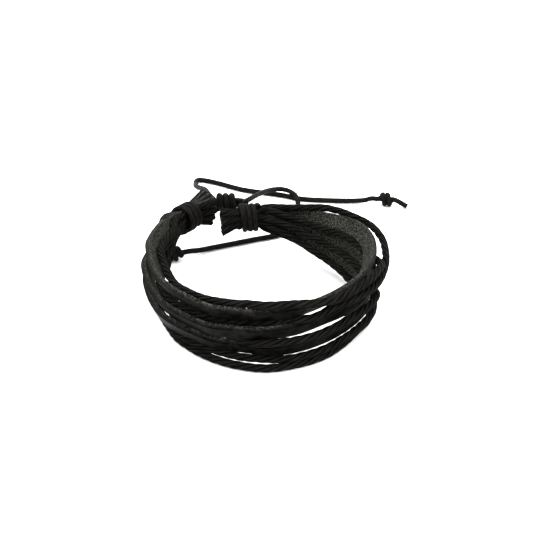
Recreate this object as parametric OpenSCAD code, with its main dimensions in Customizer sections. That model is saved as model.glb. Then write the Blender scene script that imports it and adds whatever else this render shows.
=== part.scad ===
// A leather bracelet: three flat strips and five twisted cords lie side by side in one loop.
// Both ends of the loop are whipped with waxed cord, and the whipping cords run on through a
// sliding knot, so that pulling their knotted ends closes the loop round a wrist.

/* [Strands] */
// Width of a flat leather strip
strip_w = 4; // [3.6:0.1:4.2]
// Thickness of a flat leather strip
strip_t = 1.5; // [1.2:0.1:1.6]
// Diameter of a twisted cord
rope_d = 1.9; // [1.6:0.1:2]
// Share of its full size to which the whipping squeezes a strand
squeeze = 0.62; // [0.5:0.02:0.64]

/* [Bindings] */
// Diameter of the waxed cord of the bindings, draw cords and knots
cord_d = 1.5; // [1.2:0.1:1.6]
// Turns of waxed cord round each end of the loop
binding_turns = 3; // [2:1:4]
// Length of the left cut tails past their binding
left_length = 6; // [4.5:0.5:7]
// Length of the right cut tails past their binding
right_length = 5; // [4:0.5:6]

/* [Hidden] */

leather_colour = "#1c1c1b";
rope_colour = "#151515";
waxed_colour = "#202020";

// Middle of the loop, from which the tables below are measured
loop_middle = [0.5, -3.4, 0];

// Sides of a cord's section, and rings between two rows of a table
cord_sides = 8;
steps = 2;

// Gathered ends: middle of each binding, and the way in plan that its tail points
left_end = [-24, 28.5, 13];
left_way = 52;
right_end = [-5.8, 28.8, 13];
right_way = 188;
// Half the length of a binding, as far as the strands stay squeezed
grip = 2.6;
// Throat where the strands open out: [way in from the grip, spread, share of full size, rise]
throat = [3, 1.55, 0.92, -0.25];
// Spread and share of full size inside each binding
left_squeeze = [1.1, squeeze * 1.1];
right_squeeze = [1, squeeze];
// Share of full size to which the cut tails swell back
left_swell = 1;
right_swell = 0.9;
// Places of the strands in each gathered end: [out from the middle, up]
left_leather_slot = [[-0.4, 0.2], [0.7, 0], [1.8, -0.2]];
left_rope_slot = [[-1.65, 0.45], [-1.3, 2.1], [-1.65, -0.85], [-0.75, -2], [0.55, -2.15]];
right_leather_slot = [[1.8, 0.3], [0.7, 0], [-0.4, -0.2]];
right_rope_slot = [[0.25, 2], [-1.05, 2], [-1.65, 0.45], [-1.6, -0.85], [-0.7, -2.2]];
// Places of the strands where their tails are cut: [out, up]
left_leather_cut = [[-2.4, 1.7], [-0.4, 2.5], [1.6, 3]];
left_rope_cut = [[-4.4, 0.6], [-4.8, 3.4], [-3.6, -1.8], [-2.5, -4], [-0.2, -3.2]];
right_leather_cut = [[2.6, -0.2], [1, -0.6], [-0.6, -0.9]];
right_rope_cut = [[0.4, 2.5], [-1.6, 2.4], [-2.5, 0.1], [-2.4, -2], [-1, -4.1]];

// Leather strips, top one first: [angle, radius, height, outward lean, share of full size]
leather = [
    [[144, 34.5, 14.8, 12, 0.92], [150, 33, 16.1, 22], [165, 31.2, 16.9, 28], [180, 30.3, 17.2, 30],
     [210, 30.1, 17, 30], [240, 30.4, 16.8, 33], [255, 30.2, 16.8, 34], [270, 29.8, 16.9, 35],
     [285, 28.9, 17, 35], [300, 27.6, 17.1, 35], [315, 27, 17.3, 34], [330, 26.8, 17.3, 32],
     [345, 26.8, 17.1, 31], [360, 27.2, 16.9, 30], [375, 28.1, 16.9, 27], [390, 28.7, 16.7, 26],
     [405, 29.3, 15.4, 25], [420, 30.3, 14, 20], [436, 31.4, 13.5, 8, 0.9]],
    [[144, 36.2, 12.4, 6, 0.92], [150, 34.2, 11.7, 10], [165, 32.8, 11.2, 18], [180, 31.9, 10.9, 26],
     [210, 30.3, 10.7, 30], [240, 30.5, 11.2, 30], [255, 30.5, 11.8, 30], [262, 30.3, 11.8, 30],
     [270, 29.6, 11.5, 30], [280, 28.2, 11.1, 30], [288, 27.5, 11.1, 28], [300, 27, 11.6, 26],
     [315, 27, 11.7, 20], [330, 27.4, 11.5, 14], [345, 28, 11.6, 10], [353, 28.1, 11.6, 8],
     [362, 28, 11.1, 8], [372, 27.8, 10.6, 8], [390, 27.9, 11.1, 8], [405, 28.3, 10.5, 8],
     [420, 28.4, 9.4, 8], [436, 29.3, 10.9, 4, 0.9]],
    [[144, 38, 9.4, 2, 0.92], [150, 35.2, 7.1, 4], [165, 33.1, 6.4, 12], [180, 32, 6.3, 18],
     [210, 30.3, 6.5, 26], [240, 29, 6.5, 32], [255, 27.8, 6, 34], [262, 27.8, 6.1, 34],
     [270, 28, 6, 30], [285, 27.4, 6.1, 28], [300, 26.7, 6.2, 22], [315, 26.5, 6.4, 14],
     [330, 26.6, 6.3, 8], [343, 26.9, 6.1, 3], [353, 26.9, 5.6, 0], [361, 26.9, 5.7, 0],
     [371, 27, 6.2, 0], [390, 26.7, 5.6, 0], [405, 26.5, 5.6, 0], [420, 26.6, 6.5, 0],
     [436, 27.7, 9.7, 0, 0.9]]];

// Twisted cords, in the order of their places in the slots: the same columns
rope = [
    [[144, 32.1, 13.3, 0, 0.92], [150, 31, 12.9], [165, 30.2, 13.1], [180, 29.6, 13.2],
     [210, 29, 12.9], [225, 29, 13.2], [240, 29, 13.2], [255, 28.8, 13.5], [270, 28.2, 13.6],
     [274, 28.2, 13.6], [278, 28.1, 14], [282, 28.4, 14.1, 0, 0.8], [286, 28.9, 14.2],
     [294, 29.1, 14.1], [303, 29.2, 15.3], [315, 29.4, 15.4], [330, 29.6, 14.3],
     [342, 30, 13.6], [352, 30.7, 13.8], [360, 31.5, 14.5], [370, 32.4, 15], [380, 33.5, 15.5],
     [392, 34.1, 16.1], [405, 32.9, 16.8], [412, 32, 17.2],
     [420, 31, 17.2], [436, 30.1, 16.1, 0, 0.9]],
    [[144, 32.5, 15.9, 0, 0.92], [150, 30.4, 15.5], [165, 28.9, 16.4], [180, 28, 16.8],
     [210, 27.3, 16.8], [225, 27.5, 17.1], [240, 28.3, 17.9], [255, 29.5, 19.2],
     [262, 30, 19.8], [270, 30.7, 20], [283, 30.5, 19.8], [293, 30.5, 19.1],
     [298, 30.4, 18.7], [304, 30.1, 18.2], [315, 29.7, 18.1], [330, 29.7, 17.8],
     [345, 29.9, 16.8], [353, 29.8, 15.8], [361, 29.2, 14.6], [370, 27.7, 13.8],
     [380, 27.1, 14], [390, 27, 14.1], [405, 26.8, 13.4], [420, 27.2, 13], [436, 27.8, 14, 0, 0.9]],
    [[144, 32.5, 11.1, 0, 0.92], [150, 31.2, 10.4], [165, 29.9, 9.3], [180, 28.9, 8.4],
     [195, 28.4, 7.7], [210, 28, 7.3], [225, 27.6, 7.6], [238, 27, 8.1],
     [248, 27.9, 8.8, 0, 0.85], [255, 28.8, 9, 0, 0.85],
     [259, 29.6, 8.8, 0, 0.85], [264, 30.3, 8.9, 0, 0.85], [270, 30.4, 9.1], [280, 30, 9.1],
     [290, 29.4, 9], [300, 29.1, 9.2], [315, 28.9, 9.5], [330, 29.2, 9.1], [345, 29.6, 8.6, 0, 0.95],
     [353, 28.2, 8.4, 0, 0.85], [360, 25.9, 8.9, 0, 0.85], [368, 25.4, 9.4], [390, 25.4, 9.2],
     [405, 25.2, 9.2], [420, 25.7, 9.9], [436, 25.9, 12.2, 0, 0.9]],
    [[144, 33.8, 8.9, 0, 0.92], [150, 32.3, 7.6], [157, 31.7, 5.6], [165, 30.8, 3.9],
     [180, 30.3, 3.2], [210, 28.9, 3.3], [225, 28.3, 3.4], [240, 27.8, 3.2], [255, 27.3, 2.7],
     [265, 27.5, 2.7], [275, 27.7, 2.7], [285, 27.9, 2.7], [300, 27.8, 3], [315, 27.8, 3.5], [330, 28, 3.5],
     [345, 28.7, 3.3], [362, 28.8, 3.1], [371, 27.6, 3], [380, 25.3, 3], [390, 24.7, 3.8],
     [405, 24.6, 4.9], [420, 24.7, 6.6], [436, 26, 9.3, 0, 0.9]],
    [[144, 35.5, 6.9, 0, 0.92], [150, 33, 3.6], [157, 32.4, 2.5], [165, 31.5, 1.7], [180, 30, 1],
     [210, 28, 1], [225, 28.1, 1], [240, 28.5, 1], [255, 29, 1], [270, 29.4, 1], [285, 28.6, 1],
     [300, 28, 1], [315, 27, 1], [330, 26.6, 1], [345, 27.8, 1], [360, 27.3, 1], [375, 26.3, 1],
     [390, 26.3, 1.7], [405, 27.6, 2.6], [420, 28.4, 3.9], [436, 28.6, 6.7, 0, 0.9]]];

// Stopper knots: the middle of each, the way its cord runs into it, and how its cut end leaves
left_knot = [-27.4, 26, 2.4];
left_knot_way = 201;
left_cut = [3, -1, -1.2];
right_knot = [39.2, 63.4, 2.4];
right_knot_way = -6;
right_cut = [4.2, -1.4, -1.5];
// Half the length of a stopper knot along its cord, and the radius of its turns
knot_reach = 3.2;
knot_r = cord_d + 0.1;

// Route of the left end's draw cord: through the sliding knot, round behind and back inside
route_left = [[-18.2, 36, 12.9], [-15.6, 38.2, 12.35], [-9.4, 38.6, 12.35], [-6, 43, 11.9],
              [-2.5, 55, 8.4], [1, 65, 5], [4.4, 70.2, 2.9], [7.4, 69.3, 2.5], [9.7, 65, 2.3],
              [9.9, 58, 0.85], [8, 47, 0.85], [4, 41.2, 0.85], [-4, 37.8, 0.85],
              [-13, 34, 0.85], [-20, 30.6, 1.2]];
// Route of the right end's draw cord: back through the knot, then to the right on the surface
route_right = [[-6.2, 32.8, 16], [-7.2, 36.8, 14.5], [-9.4, 38.5, 13.9], [-15.6, 38.4, 13.9],
               [-17.6, 44, 12.8], [-20, 55, 9.8], [-23.2, 66, 5.6], [-24.8, 76, 2],
               [-24.2, 82, 0.85], [-18.6, 80.1, 0.85], [-8, 73.8, 0.85], [4, 70, 0.85],
               [12, 66.6, 0.85], [23, 65.4, 0.85], [31, 64.7, 1.3]];

function turn(angle) = [cos(angle), sin(angle), 0];
function unit(v) = v / norm(v);
// The way out from the loop at a gathered end, for a strand that runs in from its tail
function outward(way) = cross(-turn(way), [0, 0, 1]);
// A strand's state is [x, y, z, lean, share of full size]
function state(place, lean, size) = [place.x, place.y, place.z, lean, size];
function slot_place(end, way, out, slot, spread, along) =
    end + turn(way) * along + (out * slot.x + [0, 0, slot.y]) * spread;
function left_place(slot, spread, along) =
    slot_place(left_end, left_way, outward(left_way), slot, spread, along);
function right_place(slot, spread, along) =
    slot_place(right_end, right_way, -outward(right_way), slot, spread, along);
function row_state(row) =
    state(turn(row[0]) * row[1] + [0, 0, row[2]],
          len(row) > 3 ? row[3] : 0,
          len(row) > 4 ? row[4] : 1);
// The whole strand: left tail, left binding, the rows round the loop, right binding, right tail
function strand(rows, left_slot, left_cut, right_slot, right_cut) = concat(
    [state(left_place(left_cut, 1, grip + left_length), 0, left_swell),
     state(left_place(left_slot, left_squeeze[0], grip), 0, left_squeeze[1]),
     state(left_place(left_slot, left_squeeze[0], -grip), 0, left_squeeze[1]),
     state(left_place(left_slot, throat[1], -grip - throat[0]) + [0, 0, throat[3]], 0, throat[2])],
    [for (row = rows) row_state(row)],
    [state(right_place(right_slot, throat[1], -grip - throat[0]) + [0, 0, throat[3]], 0, throat[2]),
     state(right_place(right_slot, right_squeeze[0], -grip), 0, right_squeeze[1]),
     state(right_place(right_slot, right_squeeze[0], grip), 0, right_squeeze[1]),
     state(right_place(right_cut, 1, grip + right_length), 0, right_swell)]);

// A smooth curve through the rows
function curve(a, b, c, d, t) =
    (2 * b + (c - a) * t + (2 * a - 5 * b + 4 * c - d) * t ^ 2
     + (3 * b - a - 3 * c + d) * t ^ 3) / 2;
function smooth(rows, steps) = concat(
    [for (i = [0:len(rows) - 2], k = [0:steps - 1])
        curve(rows[max(i - 1, 0)], rows[i], rows[i + 1], rows[min(i + 2, len(rows) - 1)], k / steps)],
    [rows[len(rows) - 1]]);
function place(s) = [s[0], s[1], s[2]];
function along(path, i) = unit(place(path[min(i + 1, len(path) - 1)]) - place(path[max(i - 1, 0)]));

// Sections, as [out, up] in the plane across the strand
strip_section = [[strip_t, strip_w], [-strip_t, strip_w], [-strip_t, -strip_w], [strip_t, -strip_w]] / 2;
function round_section(d) =
    [for (i = [0:cord_sides - 1]) [cos(i * 360 / cord_sides), sin(i * 360 / cord_sides)] * d / 2];
// The way across the path at each of its points: level, or carried along without a twist
function level(path) = [for (i = [0:len(path) - 1]) unit(cross(along(path, i), [0, 0, 1]))];
function square(v, way) = unit(v - way * (v * way));
function carried(path, first) =
    [for (i = 0, out = square(first, along(path, 0));
          i < len(path);
          i = i + 1, out = square(out, along(path, min(i, len(path) - 1)))) out];
function ring(path, i, out, section) =
    let (up = cross(out, along(path, i)), lean = path[i][3])
    [for (p = section)
        place(path[i]) + path[i][4] * (out * (p.x * cos(lean) + p.y * sin(lean))
                                       + up * (p.y * cos(lean) - p.x * sin(lean)))];

// A solid swept along the path, closed at both ends
module sweep(path, across, section) {
    n = len(section);
    last = (len(path) - 1) * n;
    points = [for (i = [0:len(path) - 1]) each ring(path, i, across[i], section)];
    sides = [for (i = [0:len(path) - 2], k = [0:n - 1])
        let (a = i * n + k, b = i * n + (k + 1) % n)
        each [[a, b, b + n], [a, b + n, a + n]]];
    ends = [[for (k = [n - 1:-1:0]) k], [for (k = [0:n - 1]) last + k]];
    translate(loop_middle) polyhedron(points, concat(sides, ends));
}

// Radius of each gathered end inside its binding, out and up
left_bundle_r = [2.95, 3.6];
right_bundle_r = [3, 3];
// The waxed cord pressed flat in a binding: [through, along]
wrap = [1.25, 1.5];
// Turns of waxed cord: r is the radius out from the middle and the one upward
function coil(middle, way, out, r, turns, pitch, rings) =
    [for (i = [0:turns * rings])
        let (a = i * 360 / rings, shift = pitch * (i / rings - turns / 2))
        state(middle + turn(way) * shift + out * cos(a) * r[0] + [0, 0, sin(a) * r[1]], 0, 1)];

// A round cord along the path
module round_cord(path, first, d) { sweep(path, carried(path, first), round_section(d)); }

module leather_strip(i) {
    path = smooth(strand(leather[i], left_leather_slot[i], left_leather_cut[i],
                         right_leather_slot[i], right_leather_cut[i]), steps);
    color(leather_colour) sweep(path, level(path), strip_section);
}
module twisted_cord(i) {
    path = smooth(strand(rope[i], left_rope_slot[i], left_rope_cut[i],
                         right_rope_slot[i], right_rope_cut[i]), steps);
    color(rope_colour) round_cord(path, [0, 0, 1], rope_d);
}
module binding(middle, way, out, bundle_r) {
    r = bundle_r + [wrap[0], wrap[0]] / 2;
    turns = coil(middle, way, out, r, binding_turns, wrap[1] + 0.1, 14);
    color(waxed_colour) round_cord(turns, turn(way), cord_d - 0.1);
}
// The places of a stopper knot: in along its cord, round it in tight turns, and out to the cut end
function in_knot(middle, way, p) = middle + turn(way) * p.x + turn(way + 90) * p.y + [0, 0, p.z];
function knot_rows(cut) = concat(
    [[-knot_reach, 0, 0], [-2.6, 0, 0]],
    [for (k = [0:14]) [0.2 * k - 1.4, knot_r * cos(45 * k), knot_r * sin(45 * k)]],
    [[2.6, 0, 0], [2.6, 0, 0] + cut]);
module stopper_knot(middle, way, cut) {
    rows = [for (p = knot_rows(cut)) state(in_knot(middle, way, p), 0, 1)];
    color(waxed_colour) round_cord(smooth(rows, 2), [0, 0, 1], cord_d);
}
module draw_cord(route, knot, way) {
    ends = [for (gap = [1.6, 0.45]) in_knot(knot, way, [-knot_reach - gap, 0, 0])];
    rows = [for (p = concat(route, ends)) state(p, 0, 1)];
    color(waxed_colour) round_cord(smooth(rows, steps), [0, 0, 1], cord_d);
}

module leather_strip_1() { leather_strip(0); }
module leather_strip_2() { leather_strip(1); }
module leather_strip_3() { leather_strip(2); }
module twisted_cord_1() { twisted_cord(0); }
module twisted_cord_2() { twisted_cord(1); }
module twisted_cord_3() { twisted_cord(2); }
module twisted_cord_4() { twisted_cord(3); }
module twisted_cord_5() { twisted_cord(4); }
module binding_left() { binding(left_end, left_way, outward(left_way), left_bundle_r); }
module binding_right() { binding(right_end, right_way, -outward(right_way), right_bundle_r); }
module draw_cord_left() { draw_cord(route_left, left_knot, left_knot_way); }
module draw_cord_right() { draw_cord(route_right, right_knot, right_knot_way); }
// Turns of waxed cord round both draw cords, one above the other
module sliding_knot() {
    r = [cord_d + 0.45, cord_d * 1.5 + 0.15];
    turns = coil([-12.5, 38.45, 13.15], 0, [0, -1, 0], r, 3, 1.85, 14);
    color(waxed_colour) round_cord(turns, [1, 0, 0], cord_d);
}
module stopper_knot_left() { stopper_knot(left_knot, left_knot_way, left_cut); }
module stopper_knot_right() { stopper_knot(right_knot, right_knot_way, right_cut); }

leather_strip_1();
leather_strip_2();
leather_strip_3();
twisted_cord_1();
twisted_cord_2();
twisted_cord_3();
twisted_cord_4();
twisted_cord_5();
binding_left();
binding_right();
sliding_knot();
draw_cord_left();
draw_cord_right();
stopper_knot_left();
stopper_knot_right();
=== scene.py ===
from math import ceil, cos, pi, radians, sin

import bpy
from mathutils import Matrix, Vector


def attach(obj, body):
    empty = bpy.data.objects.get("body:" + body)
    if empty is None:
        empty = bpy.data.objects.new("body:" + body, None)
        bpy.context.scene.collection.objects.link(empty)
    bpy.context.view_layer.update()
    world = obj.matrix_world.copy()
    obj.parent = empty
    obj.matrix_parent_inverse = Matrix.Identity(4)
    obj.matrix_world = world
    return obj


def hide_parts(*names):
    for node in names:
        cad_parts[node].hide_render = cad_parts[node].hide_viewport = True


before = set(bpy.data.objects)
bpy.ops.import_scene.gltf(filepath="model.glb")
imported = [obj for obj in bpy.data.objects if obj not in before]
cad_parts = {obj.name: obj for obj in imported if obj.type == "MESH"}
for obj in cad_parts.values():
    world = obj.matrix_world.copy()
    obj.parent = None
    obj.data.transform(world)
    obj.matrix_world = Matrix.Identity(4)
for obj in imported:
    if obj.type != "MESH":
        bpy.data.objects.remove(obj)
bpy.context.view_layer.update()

# The view: the bracelet lies on a plain white surface and is seen from the front, thirty
# degrees above it, with a long lens.
mm = 0.001
view_middle = Vector((1.3, 1.6, 9)) * mm
view_distance = 250 * mm
view_height = radians(30)
bpy.ops.object.camera_add(
    location=view_middle + Vector((0, -cos(view_height), sin(view_height))) * view_distance,
    rotation=(pi / 2 - view_height, 0, 0))
camera = bpy.context.object
camera.name = "camera"
camera.data.lens = 61.1
camera.data.sensor_width = 36
camera.data.clip_start = 0.01
bpy.context.scene.camera = camera

# The surface and the light: flat white paper in a white tent, with a soft lamp high up on the
# left that gives the cords their sheen.
bpy.ops.mesh.primitive_plane_add(size=6)
floor = bpy.context.object
floor.name = "floor"
paper = bpy.data.materials.new("white_paper")
paper.use_nodes = True
paper_shader = paper.node_tree.nodes["Principled BSDF"]
paper_shader.inputs["Base Color"].default_value = (0.76, 0.76, 0.76, 1)
paper_shader.inputs["Roughness"].default_value = 0.9
floor.data.materials.append(paper)

# The tent is dim at the level of the surface and bright overhead
tent = bpy.data.worlds.new("white_tent")
tent.use_nodes = True
sky = tent.node_tree.nodes["Background"]
sky.inputs["Color"].default_value = (1, 1, 1, 1)
direction = tent.node_tree.nodes.new("ShaderNodeTexCoord")
upward = tent.node_tree.nodes.new("ShaderNodeSeparateXYZ")
brightness = tent.node_tree.nodes.new("ShaderNodeMapRange")
brightness.inputs["To Min"].default_value = 0.4
brightness.inputs["To Max"].default_value = 6
tent.node_tree.links.new(direction.outputs["Generated"], upward.inputs["Vector"])
tent.node_tree.links.new(upward.outputs["Z"], brightness.inputs["Value"])
tent.node_tree.links.new(brightness.outputs["Result"], sky.inputs["Strength"])
bpy.context.scene.world = tent
bpy.context.scene.view_settings.view_transform = "Standard"

bpy.ops.object.light_add(type="AREA", location=(-0.28, 0.12, 0.42),
                         rotation=(0, radians(-34), radians(-23)))
lamp = bpy.context.object
lamp.name = "soft_lamp"
lamp.data.shape = "DISK"
lamp.data.size = 0.25
lamp.data.energy = 0.5


# The draw cords: waxed cord, 1.5 mm thick in the CAD and a little thicker here, as the photo
# shows it. Each comes out at one gathered end, runs through the sliding knot and on over the
# surface to its stopper knot. Rows of places are in millimetres from the middle of the loop.
waxed_d = 1.65 * mm
loop_middle = Vector((0.5, -3.4, 0)) * mm


def smooth_line(rows, steps):
    """The rows with points between them, on one smooth curve through them all."""
    line = []
    for i in range(len(rows) - 1):
        a, b, c, d = (rows[min(max(i + k, 0), len(rows) - 1)] for k in (-1, 0, 1, 2))
        for step in range(steps):
            t = step / steps
            line.append([(2 * q + (r - p) * t + (2 * p - 5 * q + 4 * r - s) * t ** 2
                          + (3 * q - p - 3 * r + s) * t ** 3) / 2
                         for p, q, r, s in zip(a, b, c, d)])
    return line + [list(rows[-1])]


def length_of(line):
    """The length of a line of places."""
    return sum((Vector(b[:3]) - Vector(a[:3])).length for a, b in zip(line, line[1:]))


def only(piece):
    """Selects this piece and nothing else."""
    bpy.ops.object.select_all(action="DESELECT")
    piece.select_set(True)
    bpy.context.view_layer.objects.active = piece


def straight_tube(name, sides, radius, length, step, away=0.0, wide=1.0):
    """An open tube along +X, in short rings that can bend later. It may lie away from the axis
    and be pressed wide across."""
    bpy.ops.object.select_all(action="DESELECT")
    bpy.ops.mesh.primitive_circle_add(vertices=sides, radius=radius, rotation=(0, pi / 2, 0))
    piece = bpy.context.object
    piece.name = name
    bpy.ops.object.transform_apply(rotation=True)
    bpy.ops.object.mode_set(mode="EDIT")
    bpy.ops.mesh.select_all(action="SELECT")
    bpy.ops.transform.resize(value=(1, 1, wide))
    bpy.ops.transform.translate(value=(0, away, 0))
    bpy.ops.mesh.extrude_region_move(TRANSFORM_OT_translate={"value": (step, 0, 0)})
    bpy.ops.object.mode_set(mode="OBJECT")
    repeat_along(piece, length, step)
    return piece


def repeat_along(piece, length, step):
    """Repeats a short open length of a piece along +X and joins the lengths."""
    only(piece)
    rings = piece.modifiers.new("rings", "ARRAY")
    rings.use_relative_offset = False
    rings.use_constant_offset = True
    rings.constant_offset_displace = (step, 0, 0)
    rings.count = ceil(length / step)
    rings.use_merge_vertices = True
    rings.merge_threshold = step * 0.1
    bpy.ops.object.modifier_apply(modifier="rings")


def close_ends(piece):
    """Closes the open ends and points every face outwards."""
    only(piece)
    bpy.ops.object.mode_set(mode="EDIT")
    bpy.ops.mesh.select_all(action="DESELECT")
    bpy.ops.mesh.select_mode(type="EDGE")
    bpy.ops.mesh.select_non_manifold()
    bpy.ops.mesh.fill_holes(sides=0)
    bpy.ops.mesh.select_all(action="SELECT")
    bpy.ops.mesh.normals_make_consistent(inside=False)
    bpy.ops.mesh.select_mode(type="VERT")
    bpy.ops.object.mode_set(mode="OBJECT")


def keep_straight_places(piece):
    """Keeps each point's place on the straight piece, so that a finish can follow its length."""
    places = [0.0] * (3 * len(piece.data.vertices))
    piece.data.vertices.foreach_get("co", places)
    straight = piece.data.attributes.new("straight", "FLOAT_VECTOR", "POINT")
    straight.data.foreach_set("vector", places)


def bend_along(piece, line, frame_mode="MINIMUM"):
    """Bends the straight piece along a line of [x, y, z, lean, share of full size]."""
    way = bpy.data.curves.new("way", "CURVE")
    way.dimensions = "3D"
    way.twist_mode = frame_mode
    way.use_radius = True
    spline = way.splines.new("POLY")
    spline.points.add(len(line) - 1)
    for point, row in zip(spline.points, line):
        point.co = (*row[:3], 1)
        point.tilt = radians(row[3])
        point.radius = row[4]
    guide = bpy.data.objects.new("way", way)
    bpy.context.collection.objects.link(guide)
    only(piece)
    bend = piece.modifiers.new("bend", "CURVE")
    bend.object = guide
    bend.deform_axis = "POS_X"
    bpy.ops.object.modifier_apply(modifier="bend")
    bpy.data.objects.remove(guide)
    bpy.data.curves.remove(way)
    bpy.ops.object.shade_smooth_by_angle(angle=radians(50))


def new_finish(name):
    """A new material, its node tree, its shader and each point's place on the straight piece."""
    material = bpy.data.materials.new(name)
    material.use_nodes = True
    tree = material.node_tree
    straight = tree.nodes.new("ShaderNodeAttribute")
    straight.attribute_name = "straight"
    return material, tree, tree.nodes["Principled BSDF"], straight.outputs["Vector"]


def add_node(tree, kind, **inputs):
    """A new node with these values, a _ in a name standing for a space."""
    node = tree.nodes.new(kind)
    for name, value in inputs.items():
        node.inputs[name.replace("_", " ")].default_value = value
    return node


def add_colour_mix(tree, dark=(0, 0, 0, 1), light=(1, 1, 1, 1)):
    """A new node that mixes two colours."""
    mix = tree.nodes.new("ShaderNodeMix")
    mix.data_type = "RGBA"
    mix.inputs["A"].default_value = dark
    mix.inputs["B"].default_value = light
    return mix


def waxed_finish(name, dark, light, scale_along, sheen, painted_shade_radius, painted_highlight_radius):
    """Black waxed thread: fine fibres along the piece, wax that varies, and a soft sheen. Painted
    shade darkens it within the shade radius of the piece's middle line, towards the grooves between
    plies, and a painted highlight makes it lightest beyond the highlight radius, on the crowns."""
    material, tree, shader, place = new_finish(name)
    stretch = add_node(tree, "ShaderNodeMapping", Scale=(scale_along, 1, 1))
    fibres = add_node(tree, "ShaderNodeTexNoise", Scale=5200, Detail=3, Roughness=0.6)
    wax = add_node(tree, "ShaderNodeTexNoise", Scale=420, Detail=2)
    yarns = add_node(tree, "ShaderNodeMapRange", From_Min=0.36, From_Max=0.72)
    tone = add_colour_mix(tree, dark, light)
    across = tree.nodes.new("ShaderNodeVectorMath")
    across.operation = "MULTIPLY"
    across.inputs[1].default_value = (0, 1, 1)
    from_middle = tree.nodes.new("ShaderNodeVectorMath")
    from_middle.operation = "LENGTH"
    # Painted shade and painted highlight: darker towards the middle line, where the grooves between
    # plies lie, lightest on the crowns
    painted_ply_shade = add_node(tree, "ShaderNodeMapRange", From_Min=painted_shade_radius, From_Max=painted_highlight_radius, To_Min=0.03)
    shade = tree.nodes.new("ShaderNodeMath")
    shade.operation = "MULTIPLY"
    gloss = add_node(tree, "ShaderNodeMapRange", To_Min=0.45, To_Max=0.7)
    relief = add_node(tree, "ShaderNodeBump", Strength=0.8, Distance=0.0001)
    shader.inputs["Specular IOR Level"].default_value = sheen
    link = tree.links.new
    link(place, stretch.inputs["Vector"])
    link(stretch.outputs["Vector"], fibres.inputs["Vector"])
    link(place, wax.inputs["Vector"])
    link(place, across.inputs[0])
    link(across.outputs["Vector"], from_middle.inputs[0])
    link(from_middle.outputs["Value"], painted_ply_shade.inputs["Value"])
    link(fibres.outputs["Fac"], yarns.inputs["Value"])
    link(yarns.outputs["Result"], shade.inputs[0])
    link(painted_ply_shade.outputs["Result"], shade.inputs[1])
    link(shade.outputs["Value"], tone.inputs["Factor"])
    link(tone.outputs["Result"], shader.inputs["Base Color"])
    link(wax.outputs["Fac"], gloss.inputs["Value"])
    link(gloss.outputs["Result"], shader.inputs["Roughness"])
    link(fibres.outputs["Fac"], relief.inputs["Height"])
    link(relief.outputs["Normal"], shader.inputs["Normal"])
    return material


# The radii of painted shade and painted highlight here lie within the cord's thickness
waxed_cord = waxed_finish("waxed_cord", dark=(0.0001, 0.0001, 0.0001, 1),
                          light=(0.0105, 0.01, 0.0085, 1), scale_along=0.12, sheen=0.015,
                          painted_shade_radius=0, painted_highlight_radius=0.4 * mm)


def waxed_length(name, line, step=0.45 * mm):
    """A length of waxed cord laid along the line."""
    piece = straight_tube(name, sides=16, radius=waxed_d / 2, length=length_of(line), step=step)
    close_ends(piece)
    keep_straight_places(piece)
    bend_along(piece, line)
    piece.data.materials.append(waxed_cord)
    return piece


def declare_waxed(piece, node):
    """Says what a piece of waxed cord rides on and hides the node that it stands for."""
    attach(piece, "root")
    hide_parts(node)


def placed(rows):
    """Rows of places as a line for bend_along, without lean and in full size."""
    return [[*(Vector(row[:3]) * mm + loop_middle), 0, 1] for row in rows]


def way_of(degrees):
    """The level direction at this angle from +X."""
    return Vector((cos(radians(degrees)), sin(radians(degrees)), 0))


def in_knot(middle, degrees, p):
    """A place in a stopper knot: along its cord, to its left, and up."""
    along, left, up = p
    return (Vector(middle) + way_of(degrees) * along + way_of(degrees + 90) * left
            + Vector((0, 0, up)))


# The middle of each stopper knot and the way its cord runs through it, and how far before the
# middle the draw cord ends
left_knot, left_knot_way = (-27.4, 26, 2.4), 201
right_knot, right_knot_way = (39.2, 63.4, 2.4), -6
knot_reach = 3.2
route_left = [
    (-18.2, 36, 12.9), (-15.6, 38.2, 12.35), (-9.4, 38.6, 12.35), (-6, 43, 11.9),
    (-2.5, 55, 8.4), (1, 65, 5), (4.4, 70.2, 2.9), (7.4, 69.3, 2.5), (9.7, 65, 2.3),
    (9.9, 58, 0.93), (8, 47, 0.93), (4, 41.2, 0.93), (-4, 37.8, 0.93), (-13, 34, 0.93),
    (-20, 30.6, 1.2)]
route_right = [
    (-6.2, 32.8, 16), (-7.2, 36.8, 14.5), (-9.4, 38.5, 13.9), (-15.6, 38.4, 13.9),
    (-17.6, 44, 12.8), (-20, 55, 9.8), (-23.2, 66, 5.6), (-24.8, 76, 2), (-24.2, 82, 0.93),
    (-18.6, 80.1, 0.93), (-8, 73.8, 0.93), (4, 70, 0.93), (12, 66.6, 0.93), (23, 65.4, 0.93),
    (31, 64.7, 1.3)]
draw_cords = {}
for side, route, knot, knot_way in (("left", route_left, left_knot, left_knot_way),
                                    ("right", route_right, right_knot, right_knot_way)):
    into_knot = [in_knot(knot, knot_way, (-knot_reach - before, 0, 0)) for before in (1.6, 0)]
    line = smooth_line(placed(route + into_knot), steps=10)
    cord = waxed_length("draw_cord_" + side + "_waxed", line)
    declare_waxed(cord, "draw_cord_" + side)
    draw_cords[side] = (cord, line)


# The stopper knots: each draw cord ends in a tight knot, turns of the cord round the cord
# itself, with a short cut end. It keeps the cord from slipping out of the sliding knot.

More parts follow.
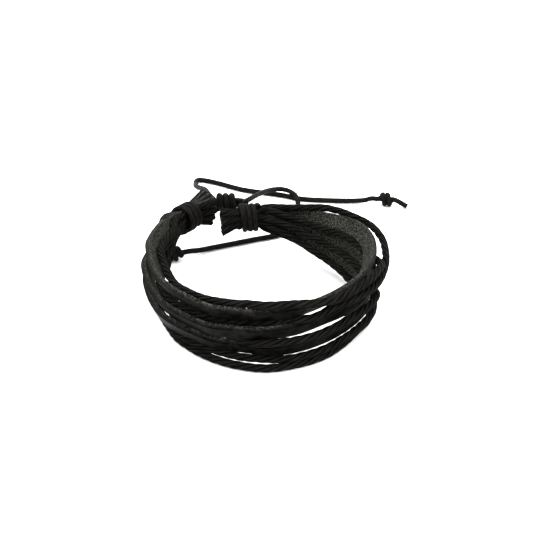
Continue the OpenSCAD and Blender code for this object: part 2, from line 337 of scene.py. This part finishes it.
# Radius of the turns' middle line, half of the coil's and of the knot's length, and the length
# of a ring of the cord
turn_r, half_coil, half_knot, knot_step = 1.5, 1.4, 2.6, 0.3 * mm
stoppers = {}
for side, knot, knot_way, cut in (("left", left_knot, left_knot_way, (3, -1, -1.2)),
                                  ("right", right_knot, right_knot_way, (4.2, -1.4, -1.5))):
    # The way in, one and three quarter turns in steps of an eighth, and the way to the cut end
    rows = [(-knot_reach, 0, 0), (-half_knot, 0, 0)]
    rows += [(0.2 * k - half_coil, turn_r * cos(k * pi / 4), turn_r * sin(k * pi / 4))
             for k in range(15)]
    rows += [(half_knot, 0, 0), (half_knot + cut[0], cut[1], cut[2])]
    line = smooth_line(placed([in_knot(knot, knot_way, p) for p in rows]), steps=6)
    stopper = waxed_length("stopper_knot_" + side + "_tied", line, knot_step)
    inner_rows = [in_knot(knot, knot_way, (x, 0, 0)) for x in (-half_knot, 0, half_knot)]
    inner = waxed_length("inner_cord", smooth_line(placed(inner_rows), steps=6), knot_step)
    only(stopper)
    inner.select_set(True)
    bpy.ops.object.join()
    declare_waxed(stopper, "stopper_knot_" + side)
    stoppers[side] = stopper


# The sliding knot: three turns of waxed cord pulled tight round both draw cords. It
# slides along them and grips by friction.
def wound(name, middle, degrees, half, turns, pitch, flat):
    """Turns of waxed cord wound tight: half = how far their middle line stands off, out and up;
    pitch = the way from turn to turn; flat = the cord's size pressed flat, through and along."""
    sides, rings = 16, 32
    bpy.ops.object.select_all(action="DESELECT")
    bpy.ops.mesh.primitive_circle_add(vertices=sides, radius=0.5, rotation=(pi / 2, 0, 0))
    piece = bpy.context.object
    piece.name = name
    bpy.ops.object.transform_apply(rotation=True)
    bpy.ops.object.mode_set(mode="EDIT")
    bpy.ops.mesh.select_all(action="SELECT")
    bpy.ops.transform.resize(value=(flat[0] * mm, 1, flat[1] * mm))
    profile = half[0] * mm
    bpy.ops.transform.translate(value=(profile, 0, 0))
    bpy.ops.object.mode_set(mode="OBJECT")
    around = [v.co.copy() for v in piece.data.vertices]
    winding = piece.modifiers.new("winding", "SCREW")
    winding.axis = "Z"
    winding.angle = 2 * pi * turns
    winding.screw_offset = pitch * turns * mm
    winding.steps = winding.render_steps = round(rings * turns) + 1
    winding.use_merge_vertices = False
    bpy.ops.object.modifier_apply(modifier="winding")
    count = len(piece.data.vertices)
    close_ends(piece)
    straight = piece.data.attributes.new("straight", "FLOAT_VECTOR", "POINT")
    for i in range(count):
        start = around[i % sides]
        along = i // sides * 2 * pi * profile / rings
        straight.data[i].vector = (along, start.x - profile, start.z)
    bpy.ops.object.mode_set(mode="EDIT")
    bpy.ops.mesh.select_all(action="SELECT")
    bpy.ops.transform.translate(value=(0, 0, -pitch * turns / 2 * mm))
    bpy.ops.transform.resize(value=(1, half[1] / half[0], 1), center_override=(0, 0, 0))
    bpy.ops.object.mode_set(mode="OBJECT")
    piece.rotation_euler = Vector((0, 0, 1)).rotation_difference(way_of(degrees)).to_euler()
    bpy.ops.object.transform_apply(rotation=True)
    piece.location = Vector(middle) * mm + loop_middle
    bpy.ops.object.transform_apply(location=True)
    bpy.ops.object.shade_smooth_by_angle(angle=radians(50))
    piece.data.materials.append(waxed_cord)
    return piece


sliding_knot = wound("sliding_knot_tied", (-12.5, 38.45, 13.15), degrees=0, half=(2.4, 1.95),
                     turns=3, pitch=1.85, flat=(1.45, 1.8))
declare_waxed(sliding_knot, "sliding_knot")

# Each draw cord is looked up here with its knots, and nothing more is done with them
for side, pieces in (("left", [stoppers["left"]]), ("right", [sliding_knot, stoppers["right"]])):
    cord, line = draw_cords[side]


# The leather strips: three flat strips cut from one hide, a little wider and thicker than the
# 4 and 1.5 mm of the CAD, so that thin slits between them close. The dyed grain side faces out,
# and the flesh side and the cut edges are greyer, rough suede.
strip_w, strip_t, strip_edge, strip_step = 4.25 * mm, 1.55 * mm, 0.28 * mm, 0.8 * mm
# The middle of each binding, the way in which its cut tails point, and the way out of the loop
left_end, left_way = Vector((-24, 28.5, 13)), 52
right_end, right_way = Vector((-5.8, 28.8, 13)), 188
left_out, right_out = way_of(left_way + 90), -way_of(right_way + 90)
# Half of a binding's length, and the share of full size that a strand keeps in each binding
grip, right_fill, left_fill = 2.6, 0.62, 0.85


def gathered(end, way, out, slot, spread, forward, share, rise=0):
    """Where a strand lies in a gathered end."""
    place = end + way_of(way) * forward + (out * slot[0] + Vector((0, 0, slot[1]))) * spread
    return [*((place + Vector((0, 0, rise))) * mm + loop_middle), 0, share]


def strand_line(rows, left_slot, left_cut, right_slot, right_cut, left_length=6):
    """A whole strand: left tail, left binding, round the loop, right binding, right tail."""
    # In each gathered end: slot, spread of the slots, place along the way, share, rise
    left = [gathered(left_end, left_way, left_out, *how) for how in
            ((left_cut, 1, grip + left_length, 1), (left_slot, 1.1, grip, left_fill),
             (left_slot, 1.1, -grip, left_fill), (left_slot, 1.55, -grip - 3, 0.92, -0.25))]
    right = [gathered(right_end, right_way, right_out, *how) for how in
             ((right_slot, 1.55, -grip - 3, 0.92, -0.25), (right_slot, 1, -grip, right_fill),
              (right_slot, 1, grip, right_fill), (right_cut, 1, grip + 5, 0.9))]
    around = []
    for row in rows:
        angle, radius, height, lean, share = [*row, *(0, 1)[len(row) - 3:]]
        place = (way_of(angle) * radius + Vector((0, 0, height))) * mm + loop_middle
        around.append([*place, lean, share])
    return smooth_line(left + around + right, steps=8)


def suede_and_grain(name):
    """Black leather: satin grain on the outer face, with lighter patches that are partly uneven dye
    and partly painted sheen, and rough grey suede on the inner one and the edges, which the way
    across the strip's thickness tells apart."""
    material, tree, shader, place = new_finish(name)
    axes = tree.nodes.new("ShaderNodeSeparateXYZ")
    outer = add_node(tree, "ShaderNodeMapRange", From_Min=0.5 * mm, From_Max=-0.4 * mm)
    nap = add_node(tree, "ShaderNodeTexNoise", Scale=3000, Detail=4, Roughness=0.7)
    patches = add_node(tree, "ShaderNodeTexNoise", Scale=700, Detail=5, Roughness=0.6)
    pores = add_node(tree, "ShaderNodeTexVoronoi", Scale=3600)
    wear = add_colour_mix(tree, dark=(0.0008, 0.0008, 0.0007, 1), light=(0.075, 0.075, 0.065, 1))
    contrast = add_node(tree, "ShaderNodeMapRange", From_Min=0.45, From_Max=0.72)
    # Uneven dye on the grain; its lighter patches also stand in for painted sheen
    dye_and_painted_sheen = add_colour_mix(tree, dark=(0.0003, 0.0003, 0.0003, 1), light=(0.006, 0.0058, 0.0052, 1))
    dye_patches_and_painted_sheen = add_node(tree, "ShaderNodeMapRange", From_Min=0.4, From_Max=0.7)
    shader.inputs["Specular IOR Level"].default_value = 0.02
    faces = add_colour_mix(tree)
    gloss = add_node(tree, "ShaderNodeMapRange", To_Min=0.92, To_Max=0.45)
    relief_height = tree.nodes.new("ShaderNodeMix")
    relief = add_node(tree, "ShaderNodeBump", Strength=0.5, Distance=0.0001)
    link = tree.links.new
    link(place, axes.inputs["Vector"])
    link(axes.outputs["Y"], outer.inputs["Value"])
    for texture in (nap, patches, pores):
        link(place, texture.inputs["Vector"])
    link(nap.outputs["Fac"], contrast.inputs["Value"])
    link(contrast.outputs["Result"], wear.inputs["Factor"])
    link(patches.outputs["Fac"], dye_patches_and_painted_sheen.inputs["Value"])
    link(dye_patches_and_painted_sheen.outputs["Result"], dye_and_painted_sheen.inputs["Factor"])
    link(outer.outputs["Result"], faces.inputs["Factor"])
    link(wear.outputs["Result"], faces.inputs["A"])
    link(dye_and_painted_sheen.outputs["Result"], faces.inputs["B"])
    link(faces.outputs["Result"], shader.inputs["Base Color"])
    link(outer.outputs["Result"], gloss.inputs["Value"])
    link(gloss.outputs["Result"], shader.inputs["Roughness"])
    link(outer.outputs["Result"], relief_height.inputs["Factor"])
    link(nap.outputs["Fac"], relief_height.inputs["A"])
    link(pores.outputs["Distance"], relief_height.inputs["B"])
    link(relief_height.outputs["Result"], relief.inputs["Height"])
    link(relief.outputs["Normal"], shader.inputs["Normal"])
    return material


leather = suede_and_grain("leather")


def leather_strip(name, line):
    """A strip with rounded cut edges, bent along the line."""
    bpy.ops.object.select_all(action="DESELECT")
    bpy.ops.mesh.primitive_cube_add(size=1, location=(strip_step / 2, 0, 0),
                                    scale=(strip_step, strip_t, strip_w))
    piece = bpy.context.object
    piece.name = name
    bpy.ops.object.transform_apply(location=True, scale=True)
    # The two faces across the strip go, so that its lengths join
    bpy.ops.object.mode_set(mode="EDIT")
    bpy.ops.mesh.select_all(action="DESELECT")
    bpy.ops.object.mode_set(mode="OBJECT")
    for face in piece.data.polygons:
        face.select = abs(face.normal.x) > 0.5
    bpy.ops.object.mode_set(mode="EDIT")
    bpy.ops.mesh.select_mode(type="FACE")
    bpy.ops.mesh.delete(type="ONLY_FACE")
    # The four edges along the strip are rounded
    bpy.ops.mesh.select_mode(type="EDGE")
    bpy.ops.mesh.select_all(action="DESELECT")
    bpy.ops.object.mode_set(mode="OBJECT")
    for edge in piece.data.edges:
        a, b = (piece.data.vertices[i].co for i in edge.vertices)
        edge.select = abs(a.x - b.x) > strip_step / 2
    bpy.ops.object.mode_set(mode="EDIT")
    bpy.ops.mesh.bevel(offset=strip_edge, segments=4)
    bpy.ops.mesh.select_mode(type="VERT")
    bpy.ops.object.mode_set(mode="OBJECT")
    repeat_along(piece, length_of(line), strip_step)
    close_ends(piece)
    keep_straight_places(piece)
    bend_along(piece, line, "Z_UP")
    piece.data.materials.append(leather)
    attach(piece, "root")
    return piece


# Places in the gathered ends, out from the middle and up: in the left binding, at the left cut,
# in the right binding and at the right cut
leather_places = [((-0.3, 1.3), (-2.6, 2.1), (1.8, 0.3), (2.6, -0.2)),
                  ((0.8, 0.9), (-0.9, 2.9), (0.7, 0), (1, -0.6)),
                  ((1.8, 0.3), (0.8, 3.5), (-0.4, -0.2), (-0.6, -0.9))]
# (angle round the loop, radius, height, outward lean, share of full size), nearly as in the
# CAD; a row that leaves them out has no lean and the full size
leather_rows = [
    [(144, 34.5, 14.8, 12, 0.92), (150, 33, 16.1, 22), (165, 31.2, 16.9, 28), (180, 30.3, 17.2, 30),
     (210, 30.1, 17, 30), (240, 30.4, 16.8, 33), (255, 30.2, 16.8, 34), (270, 29.8, 16.9, 35),
     (285, 28.9, 17, 35), (300, 27.6, 17.1, 35), (315, 27, 17.3, 34), (330, 26.8, 17.3, 32),
     (345, 26.8, 17.1, 31), (360, 27.2, 16.9, 30), (375, 28.1, 16.9, 27), (390, 28.7, 16.7, 26),
     (405, 29.3, 15.4, 25), (420, 30.3, 14, 20), (436, 31.4, 13.5, 8, 0.9)],
    [(144, 36.2, 12.4, 6, 0.92), (150, 34.2, 11.7, 10), (165, 32.8, 11.2, 18),
     (180, 31.9, 10.9, 26), (210, 30.3, 10.7, 30), (240, 30.5, 11.2, 30), (255, 30.5, 11.8, 30),
     (262, 30.3, 11.8, 30), (270, 29.6, 11.5, 30), (280, 28.2, 11.1, 30), (288, 27.5, 11.1, 28),
     (300, 27, 11.6, 26), (315, 27, 11.7, 20), (330, 27.4, 11.5, 14), (345, 28, 11.6, 10),
     (353, 28.1, 11.6, 8), (362, 28, 11.1, 8), (372, 27.8, 10.6, 8), (390, 27.9, 11.1, 8),
     (405, 28.3, 10.5, 8), (420, 28.4, 9.4, 8), (436, 29.3, 10.9, 4, 0.9)],
    [(144, 38, 9.4, 2, 0.92), (150, 35.2, 7.1, 4), (165, 33.1, 6.4, 12), (180, 32, 6.3, 18),
     (210, 30.3, 6.5, 26), (240, 29, 6.4, 32), (255, 27.8, 6, 34), (262, 27.8, 5.9, 34),
     (270, 28, 5.6, 30), (285, 27.4, 5.6, 28), (300, 26.7, 5.8, 22), (315, 26.5, 6.2, 14),
     (330, 26.6, 6.3, 8), (343, 26.9, 6.1, 3), (353, 26.9, 5.6, 0), (361, 26.9, 5.7, 0),
     (371, 27, 6.2, 0), (390, 26.7, 5.6, 0), (405, 26.5, 5.6, 0), (420, 26.6, 6.5, 0),
     (436, 27.7, 9.7, 0, 0.9)]]
for number, (rows, places) in enumerate(zip(leather_rows, leather_places), 1):
    line = strand_line(rows, *places, left_length=7.6)
    strip = leather_strip(f"leather_strip_{number}_cut", line)
    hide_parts(f"leather_strip_{number}")


# The twisted cords: five waxed cords, 2.1 mm thick over their plies, each laid from five plies
# to the left. They run with the strips through both bindings and are cut off with them.

# Thickness over the plies, their number, and the length in which they go once round
rope_d, plies, full_turn = 2.12 * mm, 5, 14 * mm
# Painted shade darkens the plies' flanks towards the grooves between them, and a painted highlight
# lightens their crowns
twisted_thread = waxed_finish("twisted_cord", dark=(0.0001, 0.0001, 0.0001, 1),
                              light=(0.013, 0.0126, 0.011, 1), scale_along=0.06, sheen=0.006,
                              painted_shade_radius=0.8 * mm, painted_highlight_radius=1 * mm)


def laid_cord(name, line):
    """Plies pressed wide against each other and wound round, bent along the line."""
    length, step = length_of(line), 0.4 * mm
    piece = straight_tube(name, sides=12, radius=0.19 * rope_d, length=length, step=step,
                          away=0.31 * rope_d, wide=1.15)
    bpy.ops.object.mode_set(mode="EDIT")
    bpy.ops.mesh.select_all(action="SELECT")
    for ply in range(plies - 1):
        bpy.ops.mesh.duplicate()
        bpy.ops.transform.rotate(value=2 * pi / plies, orient_axis="X", center_override=(0, 0, 0))
    bpy.ops.object.mode_set(mode="OBJECT")
    close_ends(piece)
    keep_straight_places(piece)
    wind = piece.modifiers.new("wind", "SIMPLE_DEFORM")
    wind.deform_method = "TWIST"
    wind.deform_axis = "X"
    wind.angle = -2 * pi * ceil(length / step) * step / full_turn
    bpy.ops.object.modifier_apply(modifier="wind")
    bend_along(piece, line)
    piece.data.materials.append(twisted_thread)
    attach(piece, "root")
    return piece


# The same kinds of places and rows as the strips have
rope_places = [((-1.65, 0.45), (-4.4, 0.6), (0.25, 2), (0.4, 2.5)),
               ((-1.3, 2.1), (-4.8, 3.4), (-1.05, 2), (-1.6, 2.4)),
               ((-1.65, -0.85), (-3.6, -1.8), (-1.65, 0.45), (-2.5, 0.1)),
               ((-0.75, -2), (-2.5, -4), (-1.6, -0.85), (-2.4, -2)),
               ((0.55, -2.15), (-0.2, -3.2), (-0.7, -2.2), (-1, -4.1))]
rope_rows = [
    [(144, 32.1, 13.3, 0, 0.92), (150, 31, 12.9), (165, 30.2, 13.1), (180, 29.6, 13.2),
     (210, 29, 12.8), (225, 29, 12.9), (240, 29, 13), (255, 28.8, 13.5), (270, 28.2, 13.6),
     (274, 28.2, 13.6), (278, 28.1, 14), (282, 28.4, 14.1, 0, 0.8), (286, 28.9, 14.2),
     (294, 29.1, 14.3), (303, 29.2, 15.5), (315, 29.4, 15.6), (330, 29.6, 14.4), (342, 30, 13.6),
     (352, 30.7, 13.8), (360, 31.5, 14.5), (370, 32.4, 15), (380, 33.5, 15.5), (392, 34.1, 16.1),
     (405, 32.9, 16.8), (412, 32, 17.2), (420, 31, 17.2), (436, 30.1, 16.1, 0, 0.9)],
    [(144, 32.5, 15.9, 0, 0.92), (150, 30.4, 15.5), (165, 28.9, 16.4), (180, 28, 16.8),
     (210, 27.5, 16.8), (225, 27.7, 17.1), (240, 28.4, 17.9), (255, 29.5, 19.2), (262, 30, 19.8),
     (270, 30.7, 20), (283, 30.5, 19.8), (293, 30.5, 19.1), (298, 30.4, 18.7), (304, 30.1, 18.2),
     (315, 29.7, 18.1), (330, 29.7, 17.8), (345, 29.9, 16.8), (353, 29.8, 15.8), (361, 29.2, 14.6),
     (370, 27.7, 13.8), (380, 27.1, 14), (390, 27, 14.1), (405, 26.8, 13.4), (420, 27.2, 13),
     (436, 27.8, 14, 0, 0.9)],
    [(144, 32.5, 11.1, 0, 0.92), (150, 31.2, 10.4), (165, 29.9, 9.3), (180, 28.9, 8.4),
     (195, 28.4, 7.7), (210, 28, 7.3), (225, 27.6, 7.6), (238, 27, 8.1), (248, 27.9, 8.8, 0, 0.85),
     (255, 28.8, 9, 0, 0.85), (259, 29.6, 8.8, 0, 0.85), (264, 30.3, 8.9, 0, 0.85),
     (270, 30.4, 9.1), (280, 30, 9.1), (290, 29.4, 9), (300, 29.1, 9.2), (315, 28.9, 9.5),
     (330, 29.2, 9.1), (345, 29.6, 8.6, 0, 0.95), (353, 28.2, 8.4, 0, 0.85),
     (360, 25.9, 8.9, 0, 0.85), (368, 25.4, 9.4), (390, 25.4, 9.2), (405, 25.2, 9.2),
     (420, 25.7, 9.9), (436, 25.9, 12.2, 0, 0.9)],
    [(144, 33.8, 8.9, 0, 0.92), (150, 32.3, 7.6), (157, 31.7, 5.6), (165, 30.8, 3.9),
     (180, 30.3, 3.2), (210, 28.9, 3.3), (225, 28.3, 3.4), (240, 27.8, 3.2), (255, 27.4, 2.6),
     (265, 27.6, 2.7), (275, 27.8, 2.6), (285, 27.9, 2.6), (300, 27.8, 2.9), (315, 27.8, 3.5),
     (330, 28, 3.5), (345, 28.7, 3.3), (362, 28.8, 3.1), (371, 27.6, 3), (380, 25.3, 3),
     (390, 24.7, 3.8), (405, 24.6, 4.9), (420, 24.7, 6.6), (436, 26, 9.3, 0, 0.9)],
    [(144, 35.5, 6.9, 0, 0.92), (150, 33, 3.6), (157, 32.4, 2.5), (165, 31.5, 1.7), (180, 30, 1.1),
     (210, 28, 1.1), (225, 28.1, 1.1), (240, 28.5, 1.1), (255, 29, 1.1), (270, 29.4, 1.1),
     (285, 28.6, 1.1), (300, 28, 1.1), (315, 27, 1.1), (330, 26.6, 1.1), (345, 27.8, 1.1),
     (360, 27.3, 1.1), (375, 26.3, 1.1), (390, 26.3, 1.7), (405, 27.6, 2.6), (420, 28.4, 3.9),
     (436, 28.6, 6.7, 0, 0.9)]]
for number, (rows, places) in enumerate(zip(rope_rows, rope_places), 1):
    cord = laid_cord(f"twisted_cord_{number}_laid", strand_line(rows, *places))
    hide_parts(f"twisted_cord_{number}")


# The bindings: turns of waxed cord pulled tight round each gathered end, flattened a little
# against each other and the strands. The right one has half a turn more.
for side, middle, degrees, half, turns in (
        ("left", left_end, left_way, (3.57, 4.22), 3),
        ("right", right_end - way_of(right_way) * 0.4, right_way, (3.62, 3.62), 3.5)):
    binding = wound("binding_" + side + "_wound", middle, degrees, half, turns, pitch=1.6,
                    flat=(1.25, 1.62))
    declare_waxed(binding, "binding_" + side)
